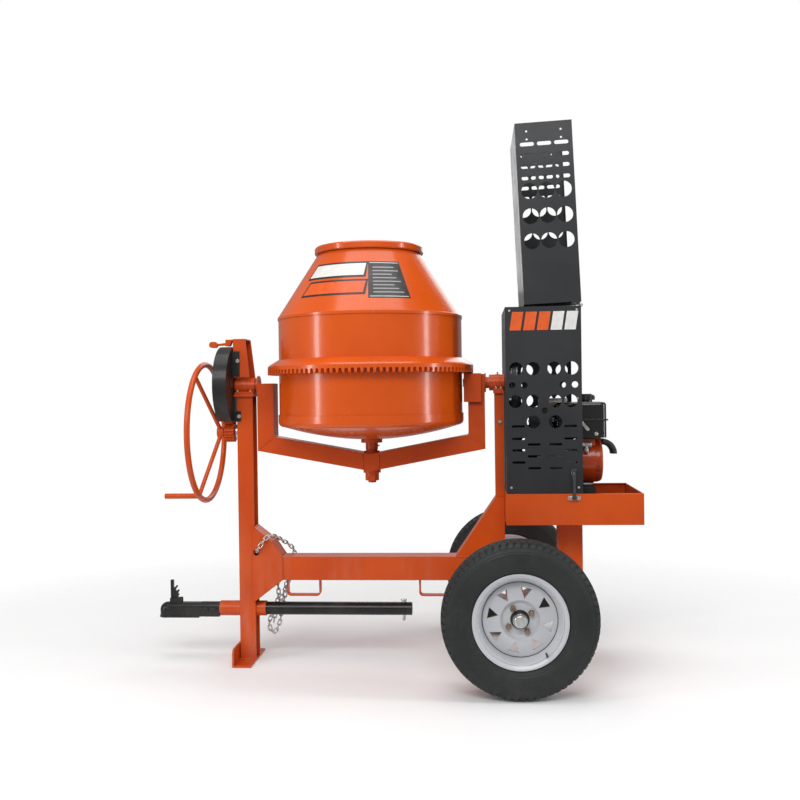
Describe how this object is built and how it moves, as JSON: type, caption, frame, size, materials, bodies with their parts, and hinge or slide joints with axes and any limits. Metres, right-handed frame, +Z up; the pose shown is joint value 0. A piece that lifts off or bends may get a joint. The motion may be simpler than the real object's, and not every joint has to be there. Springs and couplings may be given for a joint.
{
  "type": "concrete mixer",
  "caption": "Towable concrete mixer: a tilting drum in a yoke on a beam frame, with handwheel tilt gear, belt-driven engine in a cabinet, road wheels and a sliding tow bar.",
  "frame": {"origin": "on the ground, midway between the tow coupler's and the engine tray's ends and midway between the two wheels", "axes": "+X from the tow coupler towards the engine, +Y across the wheels to the machine's far side, +Z up"},
  "size_m": [2.097, 1.17, 2.2833],
  "materials": {
    "frame_paint": "satin",
    "drum_paint": "gloss",
    "drum_steel": "worn",
    "hub_paint": "satin paint",
    "shaft_steel": "machined",
    "pinion_steel": "greased",
    "case_black": "satin",
    "cabinet_charcoal": "satin",
    "hinge_zinc": "zinc plated",
    "pulley_iron": "machined",
    "belt_rubber": "matte",
    "engine_metal": "cast",
    "stand_black": "satin",
    "tank_black": "gloss",
    "engine_plastic": "moulded",
    "recoil_orange": "gloss",
    "muffler_steel": "heat stained",
    "tow_black": "gloss",
    "zinc": "zinc plated",
    "tyre": "moulded rubber",
    "rim_white": "gloss",
    "hub_steel": "zinc plated"
  },
  "bodies": {
    "frame": {"main_beam": "frame_paint", "rear_upright": "frame_paint", "front_post": "frame_paint", "foot_plate": "frame_paint", "beam_gussets": "frame_paint", "rear_post": "frame_paint", "fork_loops": "frame_paint", "tow_sleeve": "frame_paint", "axle_beam": "frame_paint", "engine_tray": "frame_paint", "trunnion_bearings": "frame_paint", "gear_bracket": "frame_paint", "tilt_gear_case": "case_black", "handwheel_bush": "shaft_steel", "drive_cabinet": "cabinet_charcoal", "hood_fittings": "hinge_zinc", "engine_stand": "stand_black", "engine_block": "engine_metal", "fuel_tank": "tank_black", "recoil_cover": "recoil_orange", "muffler": "muffler_steel", "air_cleaner": "engine_plastic", "drive_belt": "belt_rubber", "frame_bolts": "hinge_zinc", "safety_chains": "zinc"},
    "yoke": {"yoke_frame": "frame_paint", "trunnions": "frame_paint", "tilt_gear": "frame_paint", "kingpin": "frame_paint", "pinion_guard": "frame_paint"},
    "drum": {"drum_shell": "drum_paint", "drum_bottom": "drum_paint", "drum_cone": "drum_paint", "mouth_ring": "drum_paint", "ring_gear": "drum_paint", "mixing_paddles": "drum_steel", "drum_hub": "hub_paint"},
    "drive": {"drive_shaft": "shaft_steel", "bevel_pinion": "pinion_steel", "driven_pulley": "pulley_iron"},
    "crank": {"engine_pulley": "pulley_iron"},
    "tilt_wheel": {"handwheel": "frame_paint", "tilt_pinion": "frame_paint"},
    "lock": {"lock_lever": "frame_paint"},
    "engine_hood": {"hood": "cabinet_charcoal", "hood_hinge": "hinge_zinc"},
    "hood_latch": {"latch_strap": "belt_rubber"},
    "tank_cap": {"fuel_cap": "engine_plastic"},
    "pull_grip": {"starter_grip": "engine_plastic"},
    "throttle": {"throttle_lever": "engine_plastic"},
    "wheel_left": {"tyre_left": "tyre", "rim_left": "rim_white", "hub_left": "hub_steel"},
    "wheel_right": {"tyre_right": "tyre", "rim_right": "rim_white", "hub_right": "hub_steel"},
    "tow": {"tow_bar": "tow_black", "coupler": "tow_black"},
    "tow_latch": {"coupler_latch": "tow_black"},
    "tow_pin": {"hitch_pin": "zinc"}
  },
  "joints": [
    {"name": "drum_tilt", "type": "hinge", "parent": "frame", "child": "yoke", "pos_m": [0, 0, 1.213], "axis": [1, 0, 0], "range_deg": [-110, 110]},
    {"name": "drum_spin", "type": "hinge", "parent": "yoke", "child": "drum", "pos_m": [-0.087, 0, 0.95], "axis": [0, 0, 1], "continuous": true},
    {"name": "drive_spin", "type": "hinge", "parent": "yoke", "child": "drive", "pos_m": [0.4, 0, 1.213], "axis": [1, 0, 0], "continuous": true},
    {"name": "crank_spin", "type": "hinge", "parent": "frame", "child": "crank", "pos_m": [0.53, 0, 0.872], "axis": [1, 0, 0], "continuous": true},
    {"name": "handwheel_turn", "type": "hinge", "parent": "frame", "child": "tilt_wheel", "pos_m": [-0.72, 0, 1.009], "axis": [1, 0, 0], "range_deg": [-451, 451]},
    {"name": "lock_lift", "type": "hinge", "parent": "frame", "child": "lock", "pos_m": [-0.721, 0, 1.4], "axis": [0, 1, 0], "range_deg": [0, 30]},
    {"name": "hood_swing", "type": "hinge", "parent": "frame", "child": "engine_hood", "pos_m": [0.8095, 0, 1.526], "axis": [0, 1, 0], "range_deg": [0, 182.4]},
    {"name": "latch_swing", "type": "hinge", "parent": "frame", "child": "hood_latch", "pos_m": [0.767, -0.242, 0.733], "axis": [1, 0, 0], "range_deg": [0, 150]},
    {"name": "cap_turn", "type": "hinge", "parent": "frame", "child": "tank_cap", "pos_m": [0.845, -0.03, 1.14], "axis": [0, 0, 1], "range_deg": [0, 90]},
    {"name": "starter_pull", "type": "slide", "parent": "frame", "child": "pull_grip", "axis": [1, 0, 0], "range_m": [0, 0.06]},
    {"name": "throttle_move", "type": "hinge", "parent": "frame", "child": "throttle", "pos_m": [0.786, -0.115, 0.925], "axis": [0, 1, 0], "range_deg": [-15, 30]},
    {"name": "left_wheel_roll", "type": "hinge", "parent": "frame", "child": "wheel_left", "pos_m": [0.526, -0.499, 0.303], "axis": [0, 1, 0], "continuous": true},
    {"name": "right_wheel_roll", "type": "hinge", "parent": "frame", "child": "wheel_right", "pos_m": [0.526, 0.499, 0.303], "axis": [0, 1, 0], "continuous": true},
    {"name": "tow_extend", "type": "slide", "parent": "frame", "child": "tow", "axis": [-1, 0, 0], "range_m": [0, 0.59]},
    {"name": "tow_latch_lift", "type": "hinge", "parent": "tow", "child": "tow_latch", "pos_m": [-0.972, 0, 0.262], "axis": [0, 1, 0], "range_deg": [0, 75]},
    {"name": "pin_pull", "type": "slide", "parent": "tow", "child": "tow_pin", "axis": [0, 0, 1], "range_m": [0, 0.085]}
  ],
  "couplings": [
    {"joint": "drive_spin", "follows": "drum_spin", "ratio": -8},
    {"joint": "crank_spin", "follows": "drum_spin", "ratio": -30.4},
    {"joint": "handwheel_turn", "follows": "drum_tilt", "ratio": -4.1}
  ]
}
